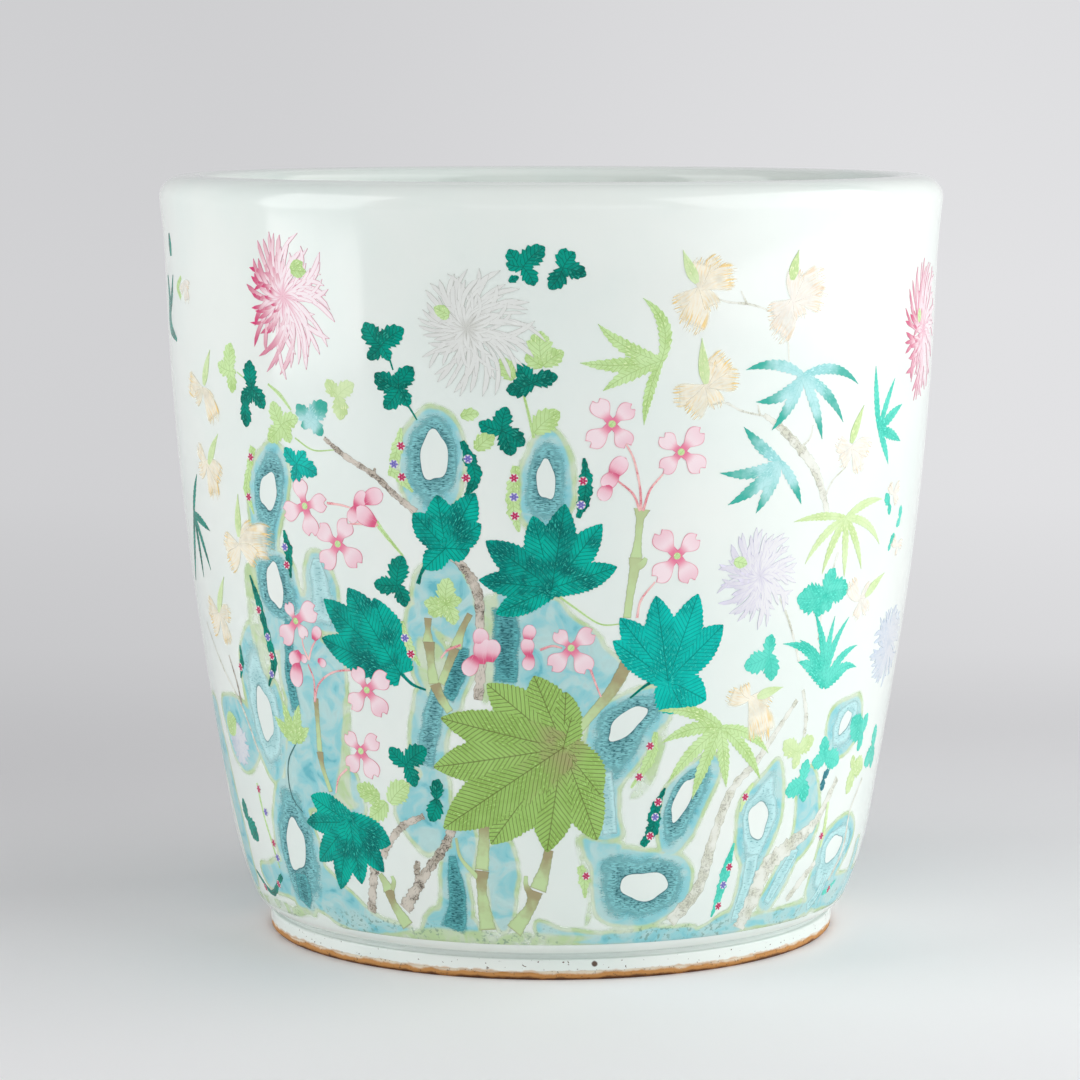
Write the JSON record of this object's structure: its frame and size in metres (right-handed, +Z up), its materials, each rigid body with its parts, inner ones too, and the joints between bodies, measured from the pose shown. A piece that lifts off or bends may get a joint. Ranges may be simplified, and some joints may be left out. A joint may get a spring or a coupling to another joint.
{
  "type": "jardiniere",
  "caption": "Large round glazed porcelain jardiniere with a thick flattened rim, a gently swelling wall and a low bare-edged foot, painted all round with garden flowers.",
  "frame": {"origin": "centre of the circle that the foot stands on", "axes": "+Z up along the pot's axis of turning; -Y towards the pictured side"},
  "size_m": [0.4, 0.4, 0.388],
  "materials": {
    "bare_foot": "matte",
    "porcelain_body": "matte",
    "glaze": "gloss",
    "enamel": "gloss"
  },
  "bodies": {
    "root": {"foot_ring": "bare_foot", "base_slab": "bare_foot", "lower_wall": "porcelain_body", "luting_seam": "porcelain_body", "upper_wall": "porcelain_body", "rim_roll": "porcelain_body", "outer_glaze": "glaze", "inner_glaze": "glaze"}
  },
  "joints": []
}
